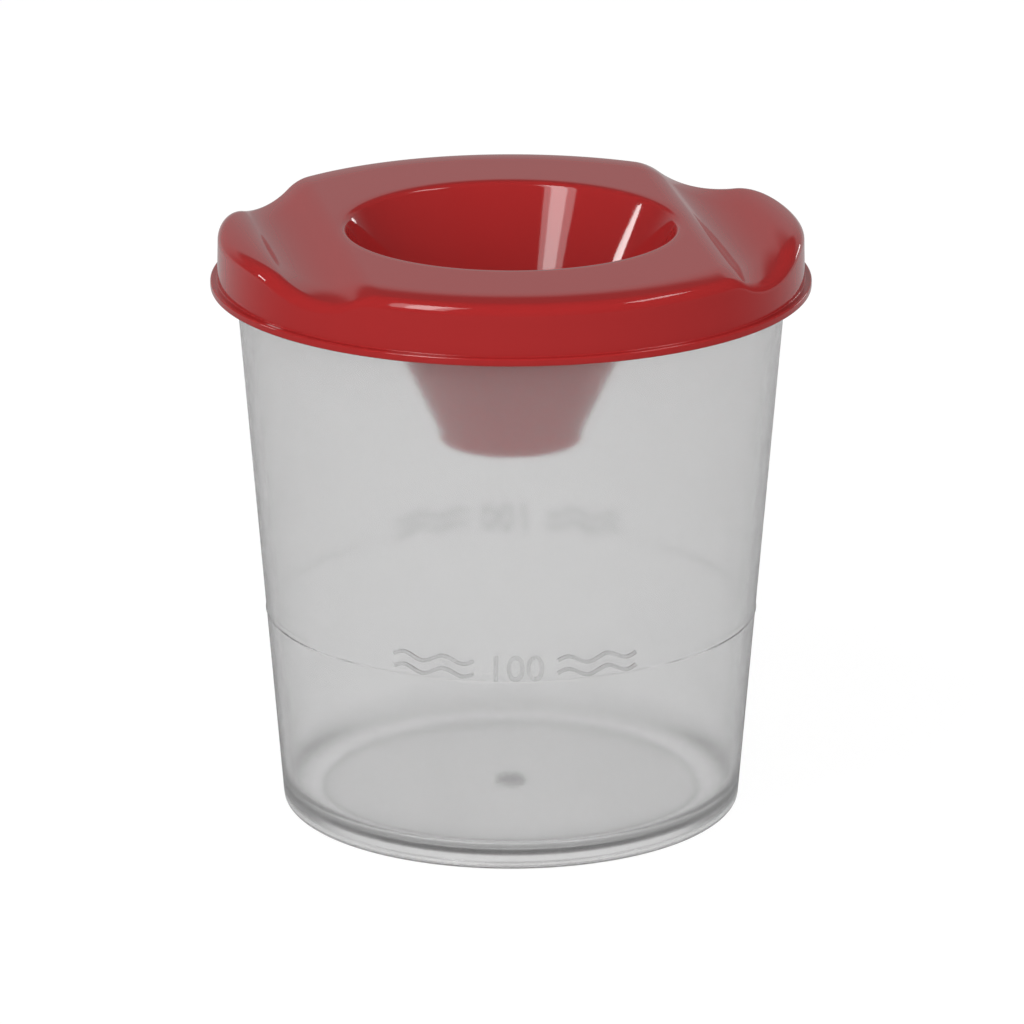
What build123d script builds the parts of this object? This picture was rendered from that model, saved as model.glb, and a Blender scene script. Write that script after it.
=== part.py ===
from build123d import *
import os
from math import atan2, cos, radians, sin, sqrt, tan

os.makedirs("parts", exist_ok=True)

# A non-spill paint cup: a tapered cup, and a lid with two brush channels and
# a funnel moulded into it.  Millimetres.  +Z is up, the origin is on the
# table under the middle of the cup, and the brush channels run along Y.

# Cup
cup_foot_r = 34.6        # outer wall, carried straight down to the table
cup_taper_deg = 4.64     # how far the wall leans out from upright
cup_wall = 1.3
cup_rim_z = 85.9         # table to the top of the rim
cup_floor_t = 1.4
foot_recess_r = 28.5     # hollow under the floor, inside the foot ring
foot_recess_h = 1.2
foot_round = 1.1         # rounded corner at the bottom of the wall
floor_round = 3.0        # corner between floor and wall, inside
gate_r = 2.2             # round gate mark in the middle of the hollow
gate_h = 0.35
level_z = 30.5           # fill line moulded round the wall
level_h = 0.12           # how far the line stands proud
level_w = 0.5
rim_lip = 0.45           # how far the rim flange stands out from the wall
rim_h = 1.6
rim_round = 0.35

# Clearances between cup and lid
seat_gap = 0.1           # rim to the underside of the brush channels
skirt_gap = 0.55         # rim flange to the inside of the skirt
bead_clear = 0.15        # rim flange to the snap bead as the lid lifts
plug_clear = 0.2         # cup wall to the plug ring

# Lid
lid_wall = 1.3
lid_h = 9.0              # underside of the grip flange to the flat top
skirt_draft_deg = 1.4
flange_out = 1.0         # grip flange beyond the skirt
flange_t = 1.2
flange_round = 0.3
edge_round = 2.0         # rounded edge all round the top
channel_inset = 11.0     # middle of each brush channel, in from the outside of the skirt
channel_r = 7.7
channel_depth = 2.6
crest_r = 6.9            # rounded step from the flat top into a channel
hump_inset = 3.0         # crown of the hump, in from the outside of the skirt
hump_up = 0.1            # crown of the hump above the flat top
plug_depth = 2.8         # plug ring below the top of the rim
plug_t = 1.2
plug_round = 0.4
bead_below = 1.0         # underside of the rim flange to the crown of the bead
bead_r = 0.8
lead_in = 0.4            # chamfer inside the foot of the skirt

# Funnel
funnel_wall = 1.3
mouth_r = 25.2           # where the top turns down into the funnel
mouth_fall_deg = 6.0     # gentle dip of the top just outside the mouth
mouth_fall_w = 2.1
mouth_ease = 12.0        # rounding where the dip starts
mouth_round = 1.2
funnel_depth = 33.0      # flat top to the open end of the neck
neck_bore_r = 9.4
neck_h = 0.7             # straight part of the neck, below its blend
neck_blend = 2.0         # outside corner between neck and cone
neck_round = 0.4
under_round = 1.0        # corner between the funnel and the underside of the top
flare_sag = 0.17         # how far the cone bows in between neck and mouth

# Sizes that follow
taper = tan(radians(cup_taper_deg))
draft = tan(radians(skirt_draft_deg))


def wall_r(z):
    # outside of the cup's wall at height z
    return cup_foot_r + z * taper


floor_z = foot_recess_h + cup_floor_t
rim_r = wall_r(cup_rim_z) + rim_lip
rim_under_z = cup_rim_z - rim_h
top_z = cup_rim_z + seat_gap + lid_wall + channel_depth
flange_z = top_z - lid_h
skirt_r = rim_r + skirt_gap + lid_wall + (cup_rim_z - flange_z) * draft
neck_z = top_z - funnel_depth
channel_z = top_z - channel_depth + channel_r
channel_x = skirt_r - channel_inset
hump_x = skirt_r - hump_inset


def skirt_out(z):
    # outside of the lid's skirt at height z
    return skirt_r - (z - flange_z) * draft


# Cup: one turned profile
with BuildPart() as cup:
    with BuildSketch(Plane.XZ) as cup_profile:
        with BuildLine():
            Polyline(
                (0, foot_recess_h),
                (foot_recess_r, foot_recess_h),
                (foot_recess_r, 0),
                (cup_foot_r, 0),
                (wall_r(rim_under_z), rim_under_z),
                (rim_r, rim_under_z),
                (rim_r, cup_rim_z),
                (wall_r(cup_rim_z) - cup_wall, cup_rim_z),
                (wall_r(floor_z) - cup_wall, floor_z),
                (0, floor_z),
                close=True,
            )
        make_face()
        points = cup_profile.vertices()
        fillet(points.filter_by(lambda v: v.Y == 0 and v.X > foot_recess_r + 1), foot_round)
        points = cup_profile.vertices()
        fillet(points.filter_by(lambda v: abs(v.Y - floor_z) < 0.01 and v.X > 1), floor_round)
        points = cup_profile.vertices()
        fillet(points.filter_by(lambda v: v.Y > rim_under_z - 0.01 and v.X > rim_r - 0.01), rim_round)
        points = cup_profile.vertices()
        fillet(points.group_by(Axis.Y)[-1].sort_by(Axis.X)[0], rim_round)
    revolve(axis=Axis.Z)

    # the fill line, a low ridge rooted in the wall
    with BuildSketch(Plane.XZ):
        Polygon(
            (wall_r(level_z) - cup_wall / 2, level_z - level_w / 2),
            (wall_r(level_z - level_w / 2), level_z - level_w / 2),
            (wall_r(level_z) + level_h, level_z),
            (wall_r(level_z + level_w / 2), level_z + level_w / 2),
            (wall_r(level_z) - cup_wall / 2, level_z + level_w / 2),
            align=None,
        )
    revolve(axis=Axis.Z)

    # the gate mark, under the floor
    with BuildSketch(Plane.XY.offset(foot_recess_h)):
        Circle(gate_r)
    extrude(amount=-gate_h)

cup.part.label = "cup"
export_step(cup.part, "parts/cup.step")


# Lid: the shape of its top, and the same shape inset by the wall
# The section across the channels runs from the middle out: flat top, crest,
# channel, hump.  Each curve meets the next at a tangent.
hump_rise = channel_z - top_z - hump_up
hump_out = hump_x - channel_x
hump_r = (hump_out**2 + hump_rise**2 - channel_r**2) / (2 * (channel_r - hump_rise))


def lid_form(inset, foot_z):
    crest_z = top_z - crest_r
    reach = channel_r + crest_r
    crest_x = channel_x - sqrt(reach**2 - (channel_z - crest_z) ** 2)
    over = (channel_x - crest_x) / reach
    up = (channel_z - crest_z) / reach
    hump_z = top_z + hump_up - hump_r
    out = hump_out / (channel_r + hump_r)
    rise = (channel_z - hump_z) / (channel_r + hump_r)
    crest_in = crest_r - inset
    hump_in = hump_r - inset
    with BuildPart() as form:
        with BuildSketch(Plane.XZ):
            with BuildLine():
                flat = Line((0, top_z - inset), (crest_x, top_z - inset))
                crest = TangentArc(
                    flat @ 1,
                    (crest_x + over * crest_in, crest_z + up * crest_in),
                    tangent=flat % 1,
                )
                dip = TangentArc(
                    crest @ 1,
                    (channel_x, channel_z - channel_r - inset),
                    tangent=crest % 1,
                )
                climb = TangentArc(
                    dip @ 1,
                    (hump_x - out * hump_in, hump_z + rise * hump_in),
                    tangent=dip % 1,
                )
                crown = TangentArc(
                    climb @ 1,
                    (hump_x + hump_in, hump_z),
                    tangent=climb % 1,
                )
                Polyline(crown @ 1, (hump_x + hump_in, foot_z), (0, foot_z))
                mirror(about=Plane.YZ)
            make_face()
        extrude(amount=skirt_r + 1, both=True)
        with BuildSketch(Plane.XZ):
            Polygon(
                (0, foot_z),
                (skirt_out(foot_z) - inset, foot_z),
                (skirt_out(top_z + 1) - inset, top_z + 1),
                (0, top_z + 1),
                align=None,
            )
        revolve(axis=Axis.Z, mode=Mode.INTERSECT)
    return form


def on_skirt(edge):
    # true for the edges where the top meets the skirt
    where = [edge.position_at(t) for t in (0.1, 0.5, 0.9)]
    return all(
        p.Z > flange_z + 1 and abs(sqrt(p.X**2 + p.Y**2) - skirt_out(p.Z)) < 0.01
        for p in where
    )


outer = lid_form(0, flange_z)
inner = lid_form(lid_wall, flange_z - 1)

# Funnel: the line of its bore, and the same line moved out by the wall
fall = tan(radians(mouth_fall_deg))
mouth_z = top_z - mouth_fall_w * fall
cone_lean = atan2(mouth_r - neck_bore_r, mouth_z - neck_z)
throat_z = neck_z + neck_h + (neck_blend + funnel_wall) * tan(cone_lean / 2)
fall_r = mouth_r + mouth_fall_w
ease_r = fall_r + mouth_ease * tan(radians(mouth_fall_deg / 2))
cone_run = mouth_r - neck_bore_r
cone_rise = mouth_z - throat_z
cone_len = sqrt(cone_run**2 + cone_rise**2)
bow = (
    (mouth_r + neck_bore_r) / 2 - flare_sag * cone_rise / cone_len,
    (mouth_z + throat_z) / 2 + flare_sag * cone_run / cone_len,
)


def corner(line, r, z):
    # the vertex of a profile line that lies at radius r and height z
    return line.vertices().sort_by(lambda v: (v.X - r) ** 2 + (v.Z - z) ** 2)[0]


with BuildLine(Plane.XZ) as bore:
    Line((ease_r + funnel_wall, top_z), (fall_r, top_z))
    Line((fall_r, top_z), (mouth_r, mouth_z))
    cone = ThreePointArc((mouth_r, mouth_z), bow, (neck_bore_r, throat_z))
    Line((neck_bore_r, throat_z), (neck_bore_r, neck_z))
    fillet(corner(bore, fall_r, top_z), mouth_ease)
    fillet(corner(bore, mouth_r, mouth_z), mouth_round)
    fillet(corner(bore, neck_bore_r, throat_z), neck_blend + funnel_wall)

# the corner of the wall's outer side below the mouth
down = (cone % 0).Z
inward = (cone % 0).X
side = (sin(radians(mouth_fall_deg)) - down, inward - cos(radians(mouth_fall_deg)))
both = 1 - sin(radians(mouth_fall_deg)) * down - cos(radians(mouth_fall_deg)) * inward
under_r = mouth_r + funnel_wall * side[0] / both
under_z = mouth_z + funnel_wall * side[1] / both

bore_line = bore.wires()[0]
wall_loop = bore_line.offset_2d(funnel_wall, side=Side.RIGHT, closed=True)

# what the bore takes out, from above the mouth to below the neck
with BuildPart() as bore_void:
    with BuildSketch(Plane.XZ):
        with BuildLine():
            add(Plane.XZ.to_local_coords(bore_line))
            Polyline(
                (ease_r + funnel_wall, top_z),
                (ease_r + funnel_wall, top_z + 1),
                (0, top_z + 1),
                (0, neck_z - 1),
                (neck_bore_r, neck_z - 1),
                (neck_bore_r, neck_z),
            )
        make_face()
    revolve(axis=Axis.Z)

# the funnel's wall, of one thickness from the flat top to the end of the neck
with BuildPart() as funnel:
    with BuildSketch(Plane.XZ) as wall_profile:
        with BuildLine():
            add(Plane.XZ.to_local_coords(wall_loop))
        make_face()
        points = wall_profile.vertices()
        fillet(points.sort_by(lambda v: (v.X - under_r) ** 2 + (v.Y - under_z) ** 2)[0], under_round)
        points = wall_profile.vertices()
        fillet(points.filter_by(lambda v: v.Y < neck_z + 0.01), neck_round)
    revolve(axis=Axis.Z)

with BuildPart() as funnel_below:
    add(funnel.part)
    split(bisect_by=Plane.XY.offset(flange_z), keep=Keep.BOTTOM)

# Lid: the hollow under the top, round the funnel
plug_foot_z = cup_rim_z - plug_depth
plug_foot_r = wall_r(plug_foot_z) - cup_wall - plug_clear
plug_top_r = plug_foot_r + (top_z - plug_foot_z) * taper
bead_z = rim_under_z - bead_below

with BuildPart() as hollow:
    add(inner.part)
    add(funnel.part, mode=Mode.SUBTRACT)
    add(bore_void.part, mode=Mode.SUBTRACT)

    # the plug ring, which stands just inside the cup's rim
    with BuildSketch(Plane.XZ) as plug_profile:
        Polygon(
            (plug_foot_r - plug_t, plug_foot_z),
            (plug_foot_r, plug_foot_z),
            (plug_top_r, top_z),
            (plug_top_r - plug_t, top_z),
            align=None,
        )
        fillet(plug_profile.vertices().group_by(Axis.Y)[0], plug_round)
    revolve(axis=Axis.Z, mode=Mode.SUBTRACT)

    # the snap bead, which catches under the cup's rim flange
    with BuildSketch(Plane.XZ):
        with Locations((rim_r + bead_clear + bead_r, bead_z)):
            Circle(bead_r)
    revolve(axis=Axis.Z, mode=Mode.SUBTRACT)

# Lid
with BuildPart() as lid:
    add(outer.part)
    rim_edges = lid.edges().filter_by(on_skirt).filter_by(GeomType.LINE, reverse=True)
    fillet(rim_edges, edge_round)
    add(hollow.part, mode=Mode.SUBTRACT)
    add(bore_void.part, mode=Mode.SUBTRACT)
    add(funnel_below.part)

    # the grip flange round the foot of the skirt
    skirt_in = skirt_out(flange_z) - lid_wall
    with BuildSketch(Plane.XZ) as flange_profile:
        Polygon(
            (skirt_in + lead_in, flange_z),
            (skirt_r + flange_out, flange_z),
            (skirt_r + flange_out, flange_z + flange_t),
            (skirt_in + lead_in, flange_z + flange_t),
            align=None,
        )
        fillet(flange_profile.vertices().group_by(Axis.X)[-1], flange_round)
    revolve(axis=Axis.Z)

    # the lead-in that lets the skirt find the rim
    with BuildSketch(Plane.XZ):
        Polygon(
            (skirt_in - 1, flange_z - lead_in),
            (skirt_in + 2 * lead_in, flange_z - lead_in),
            (skirt_in, flange_z + lead_in),
            (skirt_in - 1, flange_z + lead_in),
            align=None,
        )
    revolve(axis=Axis.Z, mode=Mode.SUBTRACT)

lid.part.label = "lid"
export_step(lid.part, "parts/lid.step")

for name, piece in (("cup", cup.part), ("lid", lid.part)):
    box = piece.bounding_box()
    print(
        "%s: %d solid, %.0f mm3, %.2f x %.2f x %.2f, valid %s"
        % (name, len(piece.solids()), piece.volume, box.size.X, box.size.Y, box.size.Z, piece.is_valid)
    )
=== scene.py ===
# %% [markdown]
# # A non-spill paint cup: frosted cup, glossy lid
#
# The object is two plastic mouldings. The cup is clear plastic with a frosted
# skin, and the lid is a glossy coloured plastic with a funnel that lets a brush
# in and keeps the water from pouring out. The CAD model gives the real sizes.
# This script gives the two mouldings their fine shape and their finish, then
# lights and photographs them. Every piece stays in the place that the CAD gives.

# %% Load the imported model
import math

import bmesh
import bpy
import numpy as np
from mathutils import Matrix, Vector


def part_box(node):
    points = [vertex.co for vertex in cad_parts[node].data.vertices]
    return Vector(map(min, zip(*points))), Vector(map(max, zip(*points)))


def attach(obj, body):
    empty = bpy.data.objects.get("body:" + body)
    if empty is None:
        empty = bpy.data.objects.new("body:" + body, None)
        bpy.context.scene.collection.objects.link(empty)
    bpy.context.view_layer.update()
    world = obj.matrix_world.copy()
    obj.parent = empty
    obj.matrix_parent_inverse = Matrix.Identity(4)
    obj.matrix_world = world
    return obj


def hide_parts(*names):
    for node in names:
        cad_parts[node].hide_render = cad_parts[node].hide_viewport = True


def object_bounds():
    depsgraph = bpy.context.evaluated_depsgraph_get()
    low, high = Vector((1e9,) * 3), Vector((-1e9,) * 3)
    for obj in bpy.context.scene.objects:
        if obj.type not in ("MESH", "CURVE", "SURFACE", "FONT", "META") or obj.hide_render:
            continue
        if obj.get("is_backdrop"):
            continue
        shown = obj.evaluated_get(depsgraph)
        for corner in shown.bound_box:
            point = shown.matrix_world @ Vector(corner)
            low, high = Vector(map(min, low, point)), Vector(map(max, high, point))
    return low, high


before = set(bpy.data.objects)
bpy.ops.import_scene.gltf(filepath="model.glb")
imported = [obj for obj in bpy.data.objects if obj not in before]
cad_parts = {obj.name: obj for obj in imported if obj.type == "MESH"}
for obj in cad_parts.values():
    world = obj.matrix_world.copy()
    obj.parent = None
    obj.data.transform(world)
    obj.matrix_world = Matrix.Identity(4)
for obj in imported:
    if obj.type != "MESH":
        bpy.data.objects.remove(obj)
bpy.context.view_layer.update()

# %% [markdown]
# ## Sizes that come from the frame
#
# Plastic mouldings are measured in millimetres and Blender works in metres, so
# the profiles below are written in millimetres and scaled once, when the mesh
# is made. The heights and radii that both mouldings share are read from the
# boxes of the CAD pieces. A change of the CAD then carries through to here.

# %% Read the main sizes of the cup and the lid
MM = 0.001

lid_low, lid_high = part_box("lid")
cup_low, cup_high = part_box("cup")
crown_z = lid_high.z / MM              # the highest points of the lid
neck_z = lid_low.z / MM                # the open end of the funnel
flange_r = (lid_high.y - lid_low.y) / 2 / MM - 0.005
rim_z = cup_high.z / MM                # the rim of the cup, under the lid
rim_r = (cup_high.y - cup_low.y) / 2 / MM

print("lid crown %.2f, neck %.2f, flange radius %.2f" % (crown_z, neck_z, flange_r))
print("cup rim %.2f, rim radius %.2f" % (rim_z, rim_r))

# %% [markdown]
# ## The camera
#
# The photograph was taken from a little above the rim with a long lens, about
# eleven cup widths away, so the near and far edges of the lid look almost
# equally wide. The brush channels run along Y and point past the camera by ten
# degrees. Aiming is done by turning the camera, because a turned camera keeps
# its aim in the other views, where a lens shift would not.

# %% Place the camera
camera_place = (-0.18332, -1.03438, 0.37596)
camera_aim = (0.00015, 0.0, 0.04492)
camera_lens = 256.2                    # on a sensor 36 mm wide


def aim(thing, place, at):
    """Puts a camera or a lamp at place and turns it to look at a point."""
    away = [b - a for a, b in zip(place, at)]
    thing.location = place
    thing.rotation_mode = "QUATERNION"
    thing.rotation_quaternion = Vector(away).to_track_quat("-Z", "Y")
    return thing


camera = bpy.data.objects.new("camera", bpy.data.cameras.new("camera"))
camera.data.lens = camera_lens
camera.data.sensor_width = 36.0
camera.data.clip_start = 0.05
camera.data.clip_end = 20.0
bpy.context.scene.collection.objects.link(camera)
bpy.context.scene.camera = aim(camera, camera_place, camera_aim)

print("camera is %.3f m from the cup" % math.dist(camera_place, camera_aim))

# %% [markdown]
# ## Profiles that turn
#
# Both mouldings are nearly round, so both are drawn as a profile: a row of
# points with a radius and a height, from one end of the section to the other.
# A lathe would turn one fixed profile. The lid has channels across it, so its
# profile changes a little with every step of the turn. That is why the helpers
# below work on a whole table at once: one row for each step of the turn, one
# column for each point of the profile. Such a grid gives clean quads that
# shade smoothly, which a boolean cut never does.

# %% Helpers that draw parts of a profile
STEPS = 512                            # steps in one full turn
turn = np.arange(STEPS) * 2 * math.pi / STEPS


def spread(value):
    """The same number, or the given numbers, one for each step of the turn."""
    return np.zeros(STEPS) + value


def run(start, end, count):
    """Points from start up to end, closer together near both ends."""
    share = 0.5 - 0.5 * np.cos(np.linspace(0, math.pi, count + 1)[:-1])
    (r0, z0), (r1, z1) = start, end
    r0, z0, r1, z1 = spread(r0), spread(z0), spread(r1), spread(z1)
    return r0[:, None] + np.outer(r1 - r0, share), z0[:, None] + np.outer(z1 - z0, share)


def bend(centre, radius, angle_from, angle_to, count):
    """Points along an arc; angles are in radians from the outward direction."""
    share = np.linspace(0, 1, count + 1)[:-1]
    a0, a1 = spread(angle_from), spread(angle_to)
    angle = a0[:, None] + np.outer(a1 - a0, share)
    return spread(centre[0])[:, None] + radius * np.cos(angle), spread(centre[1])[:, None] + radius * np.sin(angle)


def rounded(before, corner, after, radius, count=5):
    """A rounded corner between two straight runs, as an arc."""
    p, q, s = (np.stack([spread(c) for c in point], 1) for point in (before, corner, after))
    into, out = p - q, s - q
    into /= np.linalg.norm(into, axis=1)[:, None]
    out /= np.linalg.norm(out, axis=1)[:, None]
    half = np.arccos(np.clip((into * out).sum(1), -1, 1)) / 2
    middle = into + out
    middle /= np.linalg.norm(middle, axis=1)[:, None]
    centre = q + middle * (radius / np.sin(half))[:, None]
    first = q + into * (radius / np.tan(half))[:, None] - centre
    last = q + out * (radius / np.tan(half))[:, None] - centre
    a0 = np.arctan2(first[:, 1], first[:, 0])
    swing = np.arctan2(last[:, 1], last[:, 0]) - a0
    swing = (swing + math.pi) % (2 * math.pi) - math.pi
    share = np.linspace(0, 1, count + 1)
    angle = a0[:, None] + np.outer(swing, share)
    return centre[:, :1] + radius * np.cos(angle), centre[:, 1:] + radius * np.sin(angle)


def moulding(name, parts, closed):
    """Turns a list of profile parts into a smooth mesh object, in metres."""
    r = np.concatenate([part[0] for part in parts], 1) * MM
    z = np.concatenate([part[1] for part in parts], 1) * MM
    points = r.shape[1]
    corners = np.stack([r * np.cos(turn)[:, None], r * np.sin(turn)[:, None], z], 2)
    mesh = bpy.data.meshes.new(name)
    index = np.arange(STEPS * points).reshape(STEPS, points)
    after = np.roll(index, -1, axis=0)
    here, there = (index, np.roll(index, -1, 1)) if closed else (index[:, :-1], index[:, 1:])
    here2, there2 = (after, np.roll(after, -1, 1)) if closed else (after[:, :-1], after[:, 1:])
    quads = np.stack([here, there, there2, here2], 2).reshape(-1, 4)
    mesh.from_pydata(corners.reshape(-1, 3).tolist(), [], quads.tolist())
    work = bmesh.new()
    work.from_mesh(mesh)
    bmesh.ops.remove_doubles(work, verts=work.verts, dist=1e-7)
    bmesh.ops.recalc_face_normals(work, faces=work.faces)
    work.to_mesh(mesh)
    work.free()
    mesh.shade_smooth()
    piece = bpy.data.objects.new(name, mesh)
    bpy.context.scene.collection.objects.link(piece)
    print("%s: %d points in the profile, %d faces" % (name, points, len(mesh.polygons)))
    return piece


# %% [markdown]
# ## The cup
#
# The real cup is injection moulded in one shot: a tapered wall 1.3 mm thick, a
# floor that stands clear of the table on a foot ring, and a small lip at the
# rim that the lid snaps over. Its wall is a plain turned shape, so one fixed
# profile is enough. The profile runs from the middle of the underside, out and
# up the outside, over the rim, and down the inside to the middle of the floor.
# The wall has real thickness, because frosted plastic only looks right when
# light has to pass through its outer and its inner face.

# %% Sizes of the cup
cup_foot_r = 34.6
cup_taper = math.tan(math.radians(4.64))
cup_wall = 1.3
foot_recess_r = 28.5
foot_recess_h = 1.2
floor_z = 2.6
foot_round = 1.1
floor_round = 3.0
gate_r = 2.2
gate_h = 0.35
rim_h = 1.6
rim_round = 0.35
level_z = 30.5
level_w = 0.5
level_h = 0.12


def wall_r(z):
    """Outside radius of the cup's wall at a height."""
    return cup_foot_r + z * cup_taper


print("wall is %.2f mm in radius at the foot, %.2f at the rim" % (wall_r(0), wall_r(rim_z)))

# %% Draw the cup
rim_under = rim_z - rim_h
wall_in_rim = wall_r(rim_z) - cup_wall
cup_corners = [
    ((0, foot_recess_h - gate_h), None),
    ((gate_r, foot_recess_h - gate_h), 0.12),
    ((gate_r + 0.15, foot_recess_h), 0.12),
    ((foot_recess_r, foot_recess_h), 0.3),
    ((foot_recess_r, 0), 0.3),
    ((cup_foot_r, 0), foot_round),
    ((wall_r(level_z - level_w / 2), level_z - level_w / 2), 0.15),
    ((wall_r(level_z) + level_h, level_z), 0.15),
    ((wall_r(level_z + level_w / 2), level_z + level_w / 2), 0.15),
    ((wall_r(rim_under), rim_under), 0.2),
    ((rim_r, rim_under), rim_round),
    ((rim_r, rim_z), rim_round),
    ((wall_in_rim, rim_z), rim_round),
    ((wall_r(floor_z) - cup_wall, floor_z), floor_round),
    ((0, floor_z), None),
]
cup_parts = []
last_point = cup_corners[0][0]
for place, (corner, radius) in enumerate(cup_corners[1:], start=1):
    if radius is None:
        cup_parts.append(run(last_point, corner, 24))
        cup_parts.append((spread(corner[0])[:, None], spread(corner[1])[:, None]))
        break
    arc = rounded(cup_corners[place - 1][0], corner, cup_corners[place + 1][0], radius, 6)
    arc_start = (arc[0][:, 0], arc[1][:, 0])
    cup_parts.append(run(last_point, arc_start, 14))
    cup_parts.append((arc[0][:, :-1], arc[1][:, :-1]))
    last_point = (arc[0][:, -1], arc[1][:, -1])
cup = moulding("cup_moulding", cup_parts, closed=False)

# %% [markdown]
# ## The top of the lid
#
# Cut across the brush channels, the lid's top is a row of arcs that run into
# one another without a corner: the flat middle, a crest, a trough, and a hump
# outside the trough. Each arc has its own centre, and two arcs meet on the line
# between their centres, so the join is always smooth. The whole top then rolls
# off gently towards its edge. The same section is used for the underside: there
# every arc keeps its centre and only its radius changes by the wall thickness.

# %% Sizes of the section across the channels
top_z = crown_z - 0.01                 # the flat middle of the top
roll_start = 37.7                      # where the top begins to fall to the edge
roll_round = 34.0
channel_x = 32.92                      # middle of each brush channel
channel_round = 7.5
channel_z = top_z - 2.33               # floor of the channels
crest_round = 6.26
hump_x = 41.06                         # crown of the hump outside each channel
hump_up = 0.14                         # crown above the flat, before the roll
lid_wall = 1.3

trough_z = channel_z + channel_round
crest_z = top_z - crest_round
crest_x = channel_x - math.sqrt((channel_round + crest_round) ** 2 - (trough_z - crest_z) ** 2)
hump_out = hump_x - channel_x
hump_rise = trough_z - top_z - hump_up
hump_round = (hump_out**2 + hump_rise**2 - channel_round**2) / (2 * (channel_round - hump_rise))
hump_z = top_z + hump_up - hump_round
print("channel %.2f mm deep, hump radius %.2f mm" % (top_z - channel_z, hump_round))

# %% Height of the lid's top


def section_height(r, angle, depth=0.0):
    """Height of the arcs at a place; depth gives the same arcs under the wall."""
    across = np.abs(r * np.cos(angle))
    crest, trough, hump = crest_round - depth, channel_round + depth, hump_round - depth
    crest_end = crest_x + (channel_x - crest_x) * crest / (crest_round + channel_round)
    trough_end = channel_x + (hump_x - channel_x) * trough / (hump_round + channel_round)

    def arc(radius, middle):
        return np.sqrt(np.maximum(radius**2 - (across - middle) ** 2, 0))

    return np.select(
        [across < crest_x, across < crest_end, across < trough_end],
        [top_z - depth + 0 * across, crest_z + arc(crest, crest_x), trough_z - arc(trough, channel_x)],
        hump_z + arc(hump, hump_x),
    )


def roll_fall(r):
    """How far the gentle roll has fallen at a radius."""
    past = np.maximum(r - roll_start, 0)
    return roll_round - np.sqrt(roll_round**2 - past**2)


print("the roll falls %.2f mm by the edge" % roll_fall(np.array(43.5)))

# %% [markdown]
# ## The funnel's mouth
#
# Round the mouth the top dips by a few degrees before it turns down into the
# funnel. The dip is what draws the soft light rim round the opening, so it is
# kept as its own small curve instead of one plain round.

# %% Dip of the top towards the mouth
mouth_r = 24.9
mouth_dip = math.radians(6.0)
dip_width = 1.3
dip_ease = 12.0
mouth_round = 1.2
dip_start = mouth_r + dip_width + dip_ease * math.tan(mouth_dip / 2)


def dip_fall(r):
    """How far the top has dipped on its way in to the mouth."""
    inward = np.maximum(dip_start - r, 0)
    arc_width = dip_ease * math.sin(mouth_dip)
    on_arc = dip_ease - np.sqrt(dip_ease**2 - np.minimum(inward, arc_width) ** 2)
    return on_arc + np.maximum(inward - arc_width, 0) * math.tan(mouth_dip)


def top_height(r, angle):
    """Height of the lid's top at a radius and an angle."""
    return section_height(r, angle) - roll_fall(r) - dip_fall(r)


def under_height(r, angle):
    """Height of the underside of the lid's top."""
    return section_height(r, angle, lid_wall) - roll_fall(r)


def slope(height, r, angle):
    """Slope of a height along the radius, as an angle."""
    step = 0.02
    rise = height(r + step, angle) - height(r - step, angle)
    return np.arctan2(rise, 2 * step)


print("the dip starts at radius %.2f mm" % dip_start)

# %% [markdown]
# ## The funnel
#
# The funnel is a cone that bows in slightly and ends in a short straight neck.
# Its bore is written as a radius for each height: a straight line between neck
# and mouth, less a shallow bow, with a soft corner where the neck begins.

# %% Radius of the funnel's bore
funnel_wall = 1.3
neck_bore_r = 9.4
neck_h = 1.4
bow_depth = 0.20                       # measured level, out from the straight cone
neck_ease = 0.65                       # softness of the corner where the neck begins
throat_z = neck_z + neck_h
mouth_z = top_z - dip_width * math.tan(mouth_dip)


def bore_r(z):
    """Radius of the bore at a height: the cone or the neck, whichever is wider."""
    share = (z - throat_z) / (mouth_z - throat_z)
    cone = neck_bore_r + (mouth_r - neck_bore_r) * share - 4 * bow_depth * share * (1 - share)
    blend = np.clip(0.5 + 0.5 * (cone - neck_bore_r) / neck_ease, 0, 1)
    return cone * blend + neck_bore_r * (1 - blend) + neck_ease * blend * (1 - blend)


def bore_lean(z):
    """How far the bore leans out from upright, as an angle."""
    step = 0.02
    return np.arctan2(bore_r(z + step) - bore_r(z - step), 2 * step)


print("bore radius at mouth %.2f, throat %.2f" % (mouth_r, neck_bore_r))

# %% [markdown]
# ## Rolling a ball along an edge
#
# Two edges of the lid catch the light and so must be truly round: the shoulder
# between top and skirt, and the lip of the mouth. A moulded round is what a
# small ball touches when it is rolled along inside the edge. For every step of
# the turn the script looks for the place where the ball touches both faces, by
# halving a range again and again. The arc between the two touching points is
# then part of the profile, tangent at both ends.

# %% Shoulder round, where the top meets the skirt
flange_z = crown_z - 9.1
flange_t = 1.2
flange_out = 1.0
skirt_draft = math.radians(1.4)
shoulder_round = 1.8
skirt_r = flange_r - flange_out


def skirt_out(z):
    """Outside radius of the skirt at a height."""
    return skirt_r - (z - flange_z) * math.tan(skirt_draft)


def ball_from_top(r, angle, radius):
    """Centre of a ball that touches the top at r, and the slope there."""
    lean = slope(top_height, r, angle)
    return r + radius * np.sin(lean), top_height(r, angle) - radius * np.cos(lean), lean


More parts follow.
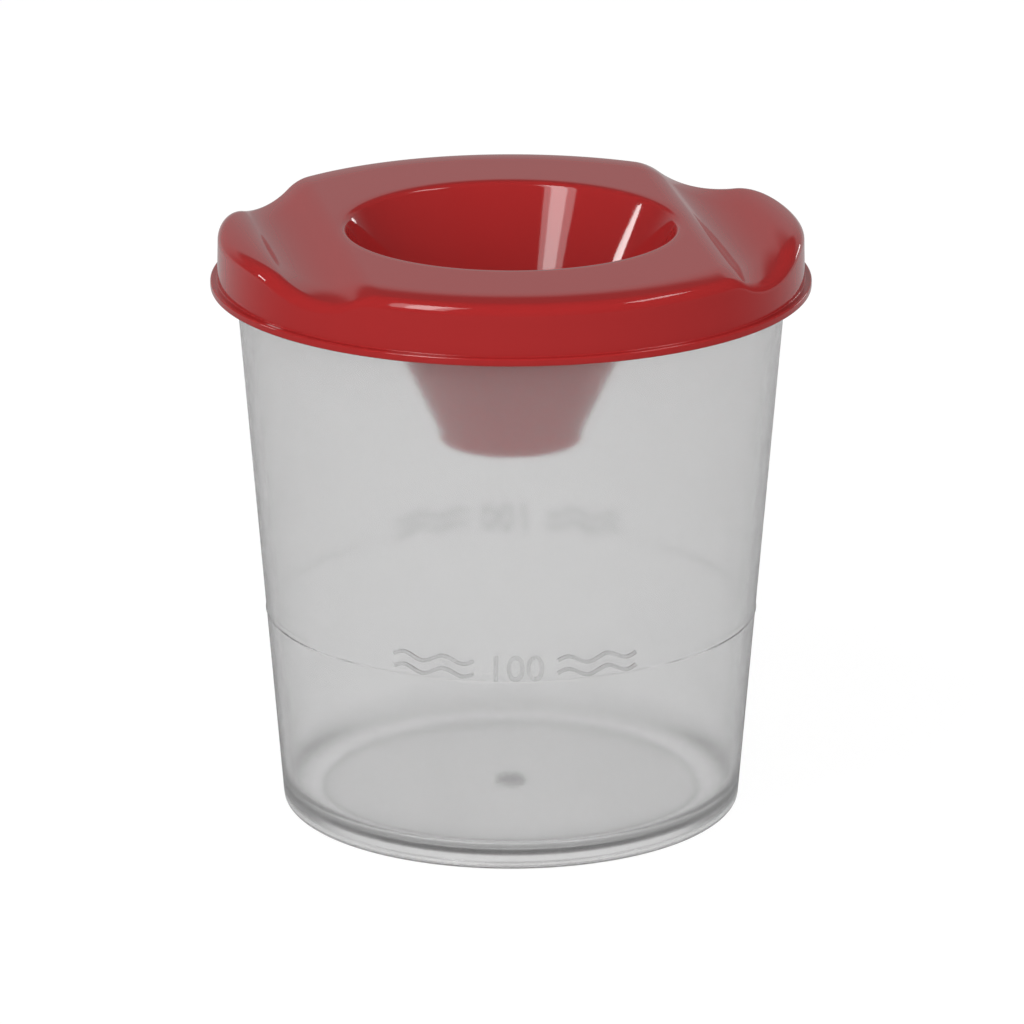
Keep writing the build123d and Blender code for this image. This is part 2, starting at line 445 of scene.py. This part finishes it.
near, far = spread(40.0), spread(43.9)
for _ in range(40):
    guess = (near + far) / 2
    ball_r, ball_z, _lean = ball_from_top(guess, turn, shoulder_round)
    outside = ball_r + shoulder_round / math.cos(skirt_draft) > skirt_out(ball_z)
    near, far = np.where(outside, near, guess), np.where(outside, guess, far)
shoulder_touch = (near + far) / 2
shoulder_ball_r, shoulder_ball_z, shoulder_lean = ball_from_top(shoulder_touch, turn, shoulder_round)
shoulder_arc = bend(
    (shoulder_ball_r, shoulder_ball_z), shoulder_round, shoulder_lean + math.pi / 2, skirt_draft, 14
)
print("the shoulder starts at radius %.2f to %.2f" % (shoulder_touch.min(), shoulder_touch.max()))

# %% Lip round, where the top turns into the funnel
near, far = spread(25.0), spread(29.5)
for _ in range(40):
    guess = (near + far) / 2
    ball_r, ball_z, _lean = ball_from_top(guess, turn, mouth_round)
    lean_in = bore_lean(ball_z[:, None])[:, 0]
    outside = (ball_r - bore_r(ball_z[:, None])[:, 0]) * np.cos(lean_in) > mouth_round
    near, far = np.where(outside, near, guess), np.where(outside, guess, far)
lip_touch = (near + far) / 2
lip_ball_r, lip_ball_z, lip_lean = ball_from_top(lip_touch, turn, mouth_round)
lip_in = bore_lean(lip_ball_z[:, None])[:, 0]
lip_end_z = lip_ball_z + mouth_round * np.sin(lip_in)
lip_arc = bend(
    (lip_ball_r, lip_ball_z), mouth_round, math.pi - lip_in, lip_lean + math.pi / 2, 14
)
print("the lip starts at radius %.2f to %.2f" % (lip_touch.min(), lip_touch.max()))

# %% [markdown]
# ## The rest of the lid's section
#
# From the open neck the profile climbs the bore, rounds the lip, crosses the
# top, rounds the shoulder, drops down the skirt to the grip flange, and then
# comes back underneath. Inside, the skirt carries a snap bead that catches
# under the cup's lip, and a plug ring stands just inside the cup's wall. They
# are hidden while the lid is on and show when it is lifted off.

# %% Sizes of the lid's inside
lead_in = 0.4
flange_round = 0.3
corner_round = 0.15
bead_r = 0.8
bead_centre_r = rim_r + 0.15 + bead_r
bead_z = rim_under - 1.0
plug_foot_z = rim_z - 2.8
plug_foot_r = wall_r(plug_foot_z) - cup_wall - 0.2
plug_t = 1.2
neck_round = 0.4
under_round = 1.0


def skirt_in(z):
    """Inside radius of the skirt at a height."""
    return skirt_out(z) - lid_wall


def funnel_out(z):
    """Outside radius of the funnel at a height."""
    return bore_r(z) + funnel_wall / np.cos(bore_lean(z))


# %% Draw the bore, the lip, the top and the shoulder
share_up = np.linspace(0, 1, 61)[:-1]
bore_z = (neck_z + neck_round) + np.outer(lip_end_z - neck_z - neck_round, share_up)
top_share = np.linspace(0, 1, 71)[:-1]
top_r = lip_touch[:, None] + np.outer(shoulder_touch - lip_touch, top_share)
upper_parts = [
    (bore_r(bore_z), bore_z),
    lip_arc,
    (top_r, top_height(top_r, turn[:, None])),
    shoulder_arc,
]
shoulder_end = (
    shoulder_ball_r + shoulder_round * math.cos(skirt_draft),
    shoulder_ball_z + shoulder_round * math.sin(skirt_draft),
)
print("top: %d points from lip to shoulder" % top_r.shape[1])

# %% Draw the skirt and the grip flange
flange_top = flange_z + flange_t
skirt_foot = (skirt_out(flange_top), flange_top)
flange_up = (flange_r, flange_top)
flange_down = (flange_r, flange_z)
lead_low = (skirt_in(flange_z) + lead_in, flange_z)
lead_high = (skirt_in(flange_z), flange_z + lead_in)
half_bead = math.acos((bead_centre_r - skirt_in(bead_z)) / bead_r)
bead_reach = bead_r * math.sin(half_bead)
bead_low = (skirt_in(bead_z - bead_reach), bead_z - bead_reach)
bead_high = (skirt_in(bead_z + bead_reach), bead_z + bead_reach)
skirt_parts, last_point = [], shoulder_end
for before, corner, after, radius in (
    (shoulder_end, skirt_foot, flange_up, corner_round),
    (skirt_foot, flange_up, flange_down, flange_round),
    (flange_up, flange_down, lead_low, flange_round),
    (flange_down, lead_low, lead_high, 0.1),
    (lead_low, lead_high, bead_low, 0.1),
):
    arc = rounded(before, corner, after, radius, 5)
    skirt_parts.append(run(last_point, (arc[0][:, 0], arc[1][:, 0]), 10))
    skirt_parts.append((arc[0][:, :-1], arc[1][:, :-1]))
    last_point = (arc[0][:, -1], arc[1][:, -1])
skirt_parts.append(run(last_point, bead_low, 4))
skirt_parts.append(bend((bead_centre_r, bead_z), bead_r, -math.pi + half_bead, -math.pi - half_bead, 10))
print("the bead stands %.2f mm in from the skirt" % (skirt_in(bead_z) - bead_centre_r + bead_r))

# %% Draw the underside: inside of the skirt, plug ring, funnel
ceiling_r = spread(skirt_in(top_z - 3) - 0.6)
ceiling = (ceiling_r, under_height(ceiling_r, turn))
skirt_top = (spread(skirt_in(top_z - 4)), np.minimum(ceiling[1] - 0.6, top_z - 2.4))
plug_out_r = spread(plug_foot_r + 3.0 * cup_taper)
plug_in_r = plug_out_r - plug_t
plug_root_out = (plug_out_r, under_height(plug_out_r, turn))
plug_root_in = (plug_in_r, under_height(plug_in_r, turn))
under_start = funnel_out(spread(top_z - 2.0)[:, None])[:, 0] + 0.35
under_stop = under_start + under_round


def along_ceiling(r_from, r_to, count):
    """Points along the underside of the top."""
    r = r_from[:, None] + np.outer(r_to - r_from, np.linspace(0, 1, count + 1)[:-1])
    return r, under_height(r, turn[:, None])


plug_foot = [(plug_foot_r, plug_foot_z), (plug_foot_r - plug_t, plug_foot_z)]
foot_out = rounded(plug_root_out, plug_foot[0], plug_foot[1], 0.4, 4)
foot_in = rounded(plug_foot[0], plug_foot[1], plug_root_in, 0.4, 4)
funnel_share = np.linspace(0, 1, 41)
funnel_top_z = under_height(under_stop, turn) - under_round
funnel_z = funnel_top_z[:, None] + np.outer(neck_z + neck_round - funnel_top_z, funnel_share)
neck_out = float(funnel_out(spread(neck_z + 0.5)[:, None])[0, 0])
under_parts = [
    run(bead_high, skirt_top, 8),
    run(skirt_top, ceiling, 4),
    along_ceiling(ceiling_r, plug_out_r, 12),
    run(plug_root_out, (foot_out[0][:, 0], foot_out[1][:, 0]), 6),
    (foot_out[0][:, :-1], foot_out[1][:, :-1]),
    run((foot_out[0][:, -1], foot_out[1][:, -1]), (foot_in[0][:, 0], foot_in[1][:, 0]), 2),
    (foot_in[0][:, :-1], foot_in[1][:, :-1]),
    run((foot_in[0][:, -1], foot_in[1][:, -1]), plug_root_in, 6),
    along_ceiling(plug_in_r, under_stop, 30),
    run((under_stop, under_height(under_stop, turn)), (funnel_out(funnel_z)[:, 0], funnel_top_z), 5),
    (funnel_out(funnel_z), funnel_z),
    bend((neck_out - neck_round, neck_z + neck_round), neck_round, 0, -math.pi / 2, 5),
    bend((neck_bore_r + neck_round, neck_z + neck_round), neck_round, -math.pi / 2, -math.pi, 5),
]
lid = moulding("lid_moulding", upper_parts + skirt_parts + under_parts, closed=True)

# %% Let the two mouldings stand for the CAD pieces
for piece, node, body in ((cup, "cup", "cup_body"), (lid, "lid", "lid_body")):
    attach(piece, body)
    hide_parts(node)
print("the cup and the lid replace their CAD nodes")

# %% [markdown]
# ## The surface of a moulding
#
# Nothing moulded is perfectly even. Polished steel leaves a skin that ripples
# by a few thousandths of a millimetre, flow in the mould shifts the shade a
# touch, and handling dulls the gloss in patches. All three effects are on both
# plastics at different strengths, so they are built once, as a node group. The
# group gives out a colour, a roughness and a height. The shader itself stays
# in each material.

# %% Node group for moulded skin


def new_group(name, takes, gives):
    """An empty node group with named inputs and outputs."""
    group = bpy.data.node_groups.new(name, "ShaderNodeTree")
    for label, kind, value in takes:
        socket = group.interface.new_socket(label, in_out="INPUT", socket_type=kind)
        if value is not None:
            socket.default_value = value
    for label, kind in gives:
        group.interface.new_socket(label, in_out="OUTPUT", socket_type=kind)
    return group, group.nodes.new("NodeGroupInput"), group.nodes.new("NodeGroupOutput")


skin, skin_in, skin_out = new_group(
    "moulded_skin",
    [
        ("Shade", "NodeSocketColor", (0.5, 0.5, 0.5, 1)),
        ("Shade Drift", "NodeSocketFloat", 0.05),
        ("Gloss", "NodeSocketFloat", 0.2),
        ("Gloss Drift", "NodeSocketFloat", 0.05),
        ("Ripple Size", "NodeSocketFloat", 300.0),
    ],
    [("Color", "NodeSocketColor"), ("Roughness", "NodeSocketFloat"), ("Height", "NodeSocketFloat")],
)


def add_noise(group, place, size, detail, roughness=0.5):
    """A noise texture that reads the object's own coordinates."""
    noise = group.nodes.new("ShaderNodeTexNoise")
    noise.inputs["Scale"].default_value = size
    noise.inputs["Detail"].default_value = detail
    noise.inputs["Roughness"].default_value = roughness
    group.links.new(place.outputs["Object"], noise.inputs["Vector"])
    return noise


def add_range(group, value, low, high):
    """Moves a value from 0..1 into low..high; both ends may be sockets."""
    node = group.nodes.new("ShaderNodeMapRange")
    group.links.new(value, node.inputs["Value"])
    for label, end in (("To Min", low), ("To Max", high)):
        if isinstance(end, (int, float)):
            node.inputs[label].default_value = end
        else:
            group.links.new(end, node.inputs[label])
    return node.outputs["Result"]


def add_math(group, kind, a, b):
    """One sum or product of two values; both may be sockets or numbers."""
    node = group.nodes.new("ShaderNodeMath")
    node.operation = kind
    for slot, value in enumerate((a, b)):
        if isinstance(value, (int, float)):
            node.inputs[slot].default_value = value
        else:
            group.links.new(value, node.inputs[slot])
    return node.outputs[0]


def fade(tree, value, start, end, low, high):
    """A smooth change from low to high while a value goes from start to end."""
    node = tree.nodes.new("ShaderNodeMapRange")
    node.interpolation_type = "SMOOTHSTEP"
    tree.links.new(value, node.inputs["Value"])
    for label, amount in (("From Min", start), ("From Max", end), ("To Min", low), ("To Max", high)):
        node.inputs[label].default_value = amount
    return node.outputs["Result"]


place = skin.nodes.new("ShaderNodeTexCoord")
drift = add_noise(skin, place, 28.0, 3.0)
darker = add_math(skin, "SUBTRACT", 1.0, skin_in.outputs["Shade Drift"])
brighter = add_math(skin, "ADD", 1.0, skin_in.outputs["Shade Drift"])
tone = add_range(skin, drift.outputs["Fac"], darker, brighter)
tinted = skin.nodes.new("ShaderNodeVectorMath")
tinted.operation = "SCALE"
skin.links.new(skin_in.outputs["Shade"], tinted.inputs[0])
skin.links.new(tone, tinted.inputs["Scale"])
skin.links.new(tinted.outputs["Vector"], skin_out.inputs["Color"])

patches = add_noise(skin, place, 90.0, 5.0, 0.6)
duller = add_math(skin, "ADD", skin_in.outputs["Gloss"], skin_in.outputs["Gloss Drift"])
gloss = add_range(skin, patches.outputs["Fac"], skin_in.outputs["Gloss"], duller)
skin.links.new(gloss, skin_out.inputs["Roughness"])

ripple = add_noise(skin, place, 300.0, 2.0)
skin.links.new(skin_in.outputs["Ripple Size"], ripple.inputs["Scale"])
skin.links.new(ripple.outputs["Fac"], skin_out.inputs["Height"])
print("moulded_skin has %d nodes" % len(skin.nodes))

# %% [markdown]
# ## Glossy lid plastic
#
# The lid is opaque red plastic with a polished skin. Its colour sits deep and
# even, and its shine comes only from the clear surface: strong at a glancing
# angle, weak from the front. The Principled shader does just that when metal
# stays at zero and the roughness is low.

# %% Material of the lid


def moulded_plastic(name, shade, **values):
    """A new material: a Principled shader fed by the moulded_skin group."""
    material = bpy.data.materials.new(name)
    material.use_nodes = True
    tree = material.node_tree
    tree.nodes.clear()
    output = tree.nodes.new("ShaderNodeOutputMaterial")
    shader = tree.nodes.new("ShaderNodeBsdfPrincipled")
    surface = tree.nodes.new("ShaderNodeGroup")
    surface.node_tree = skin
    surface.inputs["Shade"].default_value = (*shade, 1)
    for label, value in values["skin"].items():
        surface.inputs[label].default_value = value
    bump = tree.nodes.new("ShaderNodeBump")
    bump.inputs["Strength"].default_value = values["bump"]
    bump.inputs["Distance"].default_value = values["bump_height"]
    for label, value in values["shader"].items():
        shader.inputs[label].default_value = value
    tree.links.new(surface.outputs["Color"], shader.inputs["Base Color"])
    tree.links.new(surface.outputs["Roughness"], shader.inputs["Roughness"])
    tree.links.new(surface.outputs["Height"], bump.inputs["Height"])
    tree.links.new(bump.outputs["Normal"], shader.inputs["Normal"])
    tree.links.new(shader.outputs["BSDF"], output.inputs["Surface"])
    return material


lid_red = (0.350, 0.0190, 0.0190)
lid_plastic = moulded_plastic(
    "glossy_lid_plastic",
    lid_red,
    skin={"Shade Drift": 0.03, "Gloss": 0.04, "Gloss Drift": 0.04, "Ripple Size": 260.0},
    bump=0.03,
    bump_height=0.0002,
    shader={"IOR": 1.47},
)
lid.data.materials.append(lid_plastic)
print("lid colour", lid_red)

# %% [markdown]
# ## Frosted cup plastic
#
# The cup is clear plastic with a fine frosted skin. Light goes through it, but
# every face scatters the light a little, so what stands close behind the wall
# is clear and what stands further off is a blur. Some of the light never gets
# through and comes back as a soft grey. In the shader that is a high share of
# transmission with a rough surface, over a grey base.

# %% Material of the cup
cup_grey = (0.80, 0.80, 0.80)
cup_frost = 0.105                      # roughness of the frosted skin
cup_plastic = moulded_plastic(
    "frosted_cup_plastic",
    cup_grey,
    skin={"Shade Drift": 0.015, "Gloss": cup_frost, "Gloss Drift": 0.02, "Ripple Size": 900.0},
    bump=0.05,
    bump_height=0.0001,
    shader={"IOR": 1.45, "Transmission Weight": 0.90},
)
cup.data.materials.append(cup_plastic)
print("cup colour", cup_grey)

# %% [markdown]
# The cup is made greyer and duller near the bottom of its wall and on the foot
# ring, and a little on the floor inside the ring. In the middle of the underside
# is the gate, the spot where the plastic entered the mould. It was broken off and
# left a small rough mark that shows as a dark fleck through the wall.

# %% Dull foot and gate mark
foot_grey = 0.70                       # shade towards the bottom of the cup
foot_frost = 0.24                      # and its roughness
gate_shade = 0.30                      # share of the light left at the gate mark
foot_fade = (3.0 * MM, 8.0 * MM)       # heights between which the dullness ends
gate_edge = (1.6 * MM, 2.6 * MM)       # radii between which the gate mark ends
ring_edge = (27.8 * MM, 29.2 * MM)     # radii between which the foot ring begins
floor_share = 0.25                     # dullness of the floor inside the ring
cup_tree = cup_plastic.node_tree
cup_skin = next(node for node in cup_tree.nodes if node.type == "GROUP")
cup_place = cup_tree.nodes.new("ShaderNodeTexCoord")
cup_axes = cup_tree.nodes.new("ShaderNodeSeparateXYZ")
cup_tree.links.new(cup_place.outputs["Object"], cup_axes.inputs[0])

level = cup_tree.nodes.new("ShaderNodeCombineXYZ")
from_axis = cup_tree.nodes.new("ShaderNodeVectorMath")
from_axis.operation = "LENGTH"
for axis in "XY":
    cup_tree.links.new(cup_axes.outputs[axis], level.inputs[axis])
cup_tree.links.new(level.outputs[0], from_axis.inputs[0])
at_gate = fade(cup_tree, from_axis.outputs["Value"], *gate_edge, gate_shade, 1.0)
low_down = fade(cup_tree, cup_axes.outputs["Z"], *foot_fade, 1.0, 0.0)
on_ring = fade(cup_tree, from_axis.outputs["Value"], *ring_edge, floor_share, 1.0)
# Greyer and duller towards the bottom of the wall and on the foot ring.
bottom_mask = add_math(cup_tree, "MULTIPLY", low_down, on_ring)
foot_tone = add_range(cup_tree, bottom_mask, cup_grey[0], foot_grey)
foot_shade = add_math(cup_tree, "MULTIPLY", foot_tone, at_gate)
cup_tree.links.new(foot_shade, cup_skin.inputs["Shade"])
cup_tree.links.new(add_range(cup_tree, bottom_mask, cup_frost, foot_frost), cup_skin.inputs["Gloss"])
print("the foot is duller up to %.0f mm" % (foot_fade[1] / MM))

# %% [markdown]
# ## Level marks
#
# A raised legend stands on the fill line, at the front and again at the back,
# where it shows dimly through both walls. Here it is a plain number for the
# volume at the line between two pairs of waves. The number is a text object
# made into a mesh, because fonts give better figures than hand-drawn strokes.
# The waves are thin ribbons that follow a sine. Both are first drawn flat, as
# on paper, and then wrapped round the wall of the cup.

# %% Wrap a flat drawing round the cup
mark_height = 4.1                      # height of the figures
mark_proud = 0.22                      # how far the marks stand out
mark_sunk = 0.06                       # how far their roots lie in the wall
mark_bold = 0.05                       # how much wider than the font's own strokes
mark_foot_z = level_z + 0.1


def wrap(work, middle):
    """Wraps a flat drawing (x along, y up, z out, in mm) round the wall."""
    for vert in work.verts:
        x, y, out = vert.co
        z = mark_foot_z + y
        r = wall_r(z) + out
        angle = middle + x / wall_r(z)
        vert.co = (r * math.cos(angle) * MM, r * math.sin(angle) * MM, z * MM)


def figures(work, text, height):
    """Adds the figures, centred, as a raised flat drawing."""
    curve = bpy.data.curves.new("figures", "FONT")
    curve.body = text
    curve.align_x = "CENTER"
    curve.size = height / 0.71         # a figure is 0.71 of the size of its font
    curve.offset = mark_bold
    curve.extrude = (mark_proud + mark_sunk) / 2
    curve.resolution_u = 6
    holder = bpy.data.objects.new("figures", curve)
    flat = bpy.data.meshes.new_from_object(holder)
    flat.transform(Matrix.Translation((0, 0, (mark_proud - mark_sunk) / 2)))
    work.from_mesh(flat)
    bpy.data.objects.remove(holder)


def wave(work, left, right, low, high, width):
    """Adds one wavy ribbon between two places, as a raised flat drawing."""
    count, turns = 60, 2 * math.pi * 2     # steps along the ribbon, two full waves
    rows = []
    for step in range(count + 1):
        share = step / count
        x = left + (right - left) * share
        y = (low + high) / 2 + (high - low) / 2 * math.sin(share * turns)
        lean = (high - low) / 2 * math.cos(share * turns) * turns / (right - left)
        size = math.hypot(1, lean)
        half = width / 2
        across = (-lean / size * half, 1 / size * half)
        rows.append([
            work.verts.new((x + across[0] * side, y + across[1] * side, out))
            for side, out in ((-1, -mark_sunk), (-1, mark_proud), (1, mark_proud), (1, -mark_sunk))
        ])
    for before, after in zip(rows, rows[1:]):
        for edge in range(4):
            other = (edge + 1) % 4
            work.faces.new((before[edge], before[other], after[other], after[edge]))
    work.faces.new(rows[0])
    work.faces.new(rows[-1][::-1])


print("marks stand %.2f mm proud of the wall" % mark_proud)

# %% Make the marks at the front and at the back
wave_width = 0.55
wave_span = (6.2, 18.5)                # from and to, each side of the figures
front_middle = math.radians(-99.0)
mark_mesh = bpy.data.meshes.new("level_marks")
both_sides = bmesh.new()
for middle in (front_middle, front_middle + math.pi):
    one_side = bmesh.new()
    figures(one_side, "100", mark_height)
    for low in (0.5, 2.5):
        for side in (-1, 1):
            ends = sorted((side * wave_span[0], side * wave_span[1]))
            wave(one_side, ends[0], ends[1], low, low + 1.1, wave_width)
    bmesh.ops.triangulate(one_side, faces=[f for f in one_side.faces if len(f.verts) > 4])
    wrap(one_side, middle)
    side_mesh = bpy.data.meshes.new("one_side")
    one_side.to_mesh(side_mesh)
    one_side.free()
    both_sides.from_mesh(side_mesh)
bmesh.ops.recalc_face_normals(both_sides, faces=both_sides.faces)
both_sides.to_mesh(mark_mesh)
both_sides.free()
level_marks = bpy.data.objects.new("level_marks", mark_mesh)
bpy.context.scene.collection.objects.link(level_marks)
level_marks.data.materials.append(cup_plastic)
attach(level_marks, "cup_body")
print("level marks:", len(mark_mesh.polygons), "faces")

# %% [markdown]
# ## Floor and background
#
# The cup stands on a plain white surface that runs into a white background. A
# real studio reaches that white with more light on the backdrop. Here the floor
# and the world are simply shown as white to the camera, and to rays that come
# through the frosted wall, so the light on the cup can stay plain. The floor is
# only partly lifted to white, so it keeps the soft shadow at the foot. In the
# gloss of the lid the floor shows painted light, dim in front, where no lamp
# reaches, and bright behind, where it meets the lit backdrop.

# %% Which way the camera looks, and the tones that run that way
heading = math.atan2(-camera_place[0], -camera_place[1])
ahead = (math.sin(heading), math.cos(heading), 0.0)


def tone_ahead(tree, vector, start, end, low, high):
    """A tone that goes from low to high along the way the camera looks."""
    along = tree.nodes.new("ShaderNodeVectorMath")
    along.operation = "DOT_PRODUCT"
    along.inputs[1].default_value = ahead
    tree.links.new(vector, along.inputs[0])
    return fade(tree, along.outputs["Value"], start, end, low, high)


print("the camera looks %.1f degrees to the right of +Y" % math.degrees(heading))

# %% Floor
floor_half = 6.0
floor_grey = 0.5                       # the paper's own shade, which keeps the shadow
floor_white = 1.16                     # brightness that the camera sees in its place
floor_lift = 0.82                      # how far the paper is lifted towards that white
floor_mesh = bpy.data.meshes.new("floor")
floor_mesh.from_pydata(
    [(x * floor_half, y * floor_half, 0) for x, y in ((-1, -1), (1, -1), (1, 1), (-1, 1))],
    [],
    [(0, 1, 2, 3)],
)
floor = bpy.data.objects.new("floor", floor_mesh)
bpy.context.scene.collection.objects.link(floor)
floor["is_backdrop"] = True

floor_paper = bpy.data.materials.new("white_paper")
floor_paper.use_nodes = True
paper = floor_paper.node_tree
paper.nodes.clear()
paper_out = paper.nodes.new("ShaderNodeOutputMaterial")
paper_place = paper.nodes.new("ShaderNodeTexCoord")
paper_path = paper.nodes.new("ShaderNodeLightPath")
paper_matte = paper.nodes.new("ShaderNodeBsdfDiffuse")
paper_matte.inputs["Color"].default_value = (floor_grey, floor_grey, floor_grey, 1)
paper_white = paper.nodes.new("ShaderNodeEmission")
paper_white.inputs["Strength"].default_value = floor_white
# Painted reflection: glossy rays see the floor as a glow, dim in front and brighter behind, in place of the floor
# lit by the lamps.
paper_painted_reflection = paper.nodes.new("ShaderNodeEmission")
painted_floor_reflection = tone_ahead(paper, paper_place.outputs["Object"], -0.05, 0.30, 0.20, 0.50)
paper.links.new(painted_floor_reflection, paper_painted_reflection.inputs["Strength"])
seen = add_math(paper, "MAXIMUM", paper_path.outputs["Is Camera Ray"], paper_path.outputs["Is Transmission Ray"])
lifted = add_math(paper, "MULTIPLY", seen, floor_lift)
paper_mix = paper.nodes.new("ShaderNodeMixShader")
paper.links.new(lifted, paper_mix.inputs[0])
paper.links.new(paper_matte.outputs[0], paper_mix.inputs[1])
paper.links.new(paper_white.outputs[0], paper_mix.inputs[2])
paper_last = paper.nodes.new("ShaderNodeMixShader")
not_through = add_math(paper, "SUBTRACT", 1.0, paper_path.outputs["Is Transmission Ray"])
mirrored = add_math(paper, "MULTIPLY", paper_path.outputs["Is Glossy Ray"], not_through)
paper.links.new(mirrored, paper_last.inputs[0])
paper.links.new(paper_mix.outputs[0], paper_last.inputs[1])
paper.links.new(paper_painted_reflection.outputs[0], paper_last.inputs[2])
paper.links.new(paper_last.outputs[0], paper_out.inputs["Surface"])
floor.data.materials.append(floor_paper)
print("floor is %.0f m across" % (2 * floor_half))

# %% [markdown]
# ## World
#
# The room is dark except for the backdrop, a low band of light straight behind
# the cup that fades out to both sides and upwards. That band is what turns the
# flat top of the lid pale where it is seen at a low angle, while the rounded
# edges round it and the sides of the funnel stay deep red. The camera and the
# frosted wall see plain white instead.

# %% World
world = bpy.data.worlds.new("studio")
world.use_nodes = True
bpy.context.scene.world = world
air = world.node_tree
air.nodes.clear()
air_out = air.nodes.new("ShaderNodeOutputWorld")
air_place = air.nodes.new("ShaderNodeTexCoord")
air_axes = air.nodes.new("ShaderNodeSeparateXYZ")
air.links.new(air_place.outputs["Generated"], air_axes.inputs[0])
room_dark = 0.09
backdrop_bright = 0.41
backdrop = tone_ahead(air, air_place.outputs["Generated"], 0.55, 0.90, 0.0, backdrop_bright - room_dark)
band = fade(air, air_axes.outputs["Z"], 0.33, 0.43, 1.0, 0.0)
air_tone = add_math(air, "ADD", add_math(air, "MULTIPLY", backdrop, band), room_dark)
air_room = air.nodes.new("ShaderNodeBackground")
air_room.inputs["Color"].default_value = (1, 1, 1, 1)
air.links.new(air_tone, air_room.inputs["Strength"])
air_white = air.nodes.new("ShaderNodeBackground")
air_white.inputs["Color"].default_value = (1, 1, 1, 1)
air_path = air.nodes.new("ShaderNodeLightPath")
air_seen = add_math(air, "MAXIMUM", air_path.outputs["Is Camera Ray"], air_path.outputs["Is Transmission Ray"])
air_mix = air.nodes.new("ShaderNodeMixShader")
air.links.new(air_seen, air_mix.inputs[0])
air.links.new(air_room.outputs[0], air_mix.inputs[1])
air.links.new(air_white.outputs[0], air_mix.inputs[2])
air.links.new(air_mix.outputs[0], air_out.inputs["Surface"])
print("the room is at %.2f, the backdrop at %.2f" % (room_dark, backdrop_bright))

# %% [markdown]
# ## Lamps
#
# The streaks on the lid say where the lamps stood. A streak lies where the
# surface is tilted halfway between the camera and the lamp, so each streak
# gives a direction. A tall soft lamp stands high at the front left, and its
# wide stripe stands in the funnel. A weaker and wider lamp behind it gives the
# stripe soft sides. One more is high at the right, a small one low at the left
# makes the narrow stripe, and a small one low at the back lights the lip of the
# mouth. Four large weak lamps fill the front, both sides and the top. They
# leave no streak anywhere, as light that comes off walls leaves none, so the
# gloss does not see them.

# %% Lamps
lamp_aim = (0, 0, 0.08)                # just under the lid


def soft_lamp(name, azimuth, elevation, distance, width, height, brightness, roll=0.0, in_gloss=True):
    """A soft box round the cup; azimuth 0 is straight behind it, + to the right."""
    a = heading + math.radians(azimuth)
    e = math.radians(elevation)
    place = (
        distance * math.sin(a) * math.cos(e),
        distance * math.cos(a) * math.cos(e),
        distance * math.sin(e) + lamp_aim[2],
    )
    data = bpy.data.lights.new(name, "AREA")
    data.shape = "RECTANGLE"
    data.size = width
    data.size_y = height
    data.energy = brightness * math.pi * width * height
    lamp = bpy.data.objects.new(name, data)
    bpy.context.scene.collection.objects.link(lamp)
    aim(lamp, place, lamp_aim)
    lamp.rotation_quaternion @= Matrix.Rotation(math.radians(roll), 3, "Z").to_quaternion()
    lamp.visible_glossy = in_gloss
    print("%s: %.1f W, %.2f x %.2f m" % (name, data.energy, width, height))


soft_lamp("left_softbox", -139, 47, 1.2, 0.22, 0.80, 5.0, roll=10)
soft_lamp("left_spill", -138, 47, 1.25, 0.46, 0.86, 3.2, roll=10)
soft_lamp("right_softbox", 90, 57, 1.2, 0.55, 0.16, 5.6)
soft_lamp("left_strip", -75, 18, 1.2, 0.17, 0.12, 12.5)
soft_lamp("back_light", 40, 3, 1.2, 0.30, 0.08, 5.0)
soft_lamp("front_fill", -178, 14, 2.2, 2.2, 1.6, 3.0, in_gloss=False)
soft_lamp("right_fill", 104, 18, 2.2, 2.2, 1.6, 1.5, in_gloss=False)
soft_lamp("left_fill", -96, 15, 2.2, 2.2, 1.6, 1.0, in_gloss=False)
soft_lamp("top_fill", 0, 85, 1.6, 1.0, 1.0, 0.6, in_gloss=False)

# %% [markdown]
# ## Finish
#
# The view transform stays plain, so that a colour is shown as it is written.
# The last lines measure the box of the finished model.

# %% Measure and finish
bpy.context.scene.view_settings.view_transform = "Standard"
low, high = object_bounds()
print("visual box, mm:", [round(1000 * c, 2) for c in (*low, *high)])
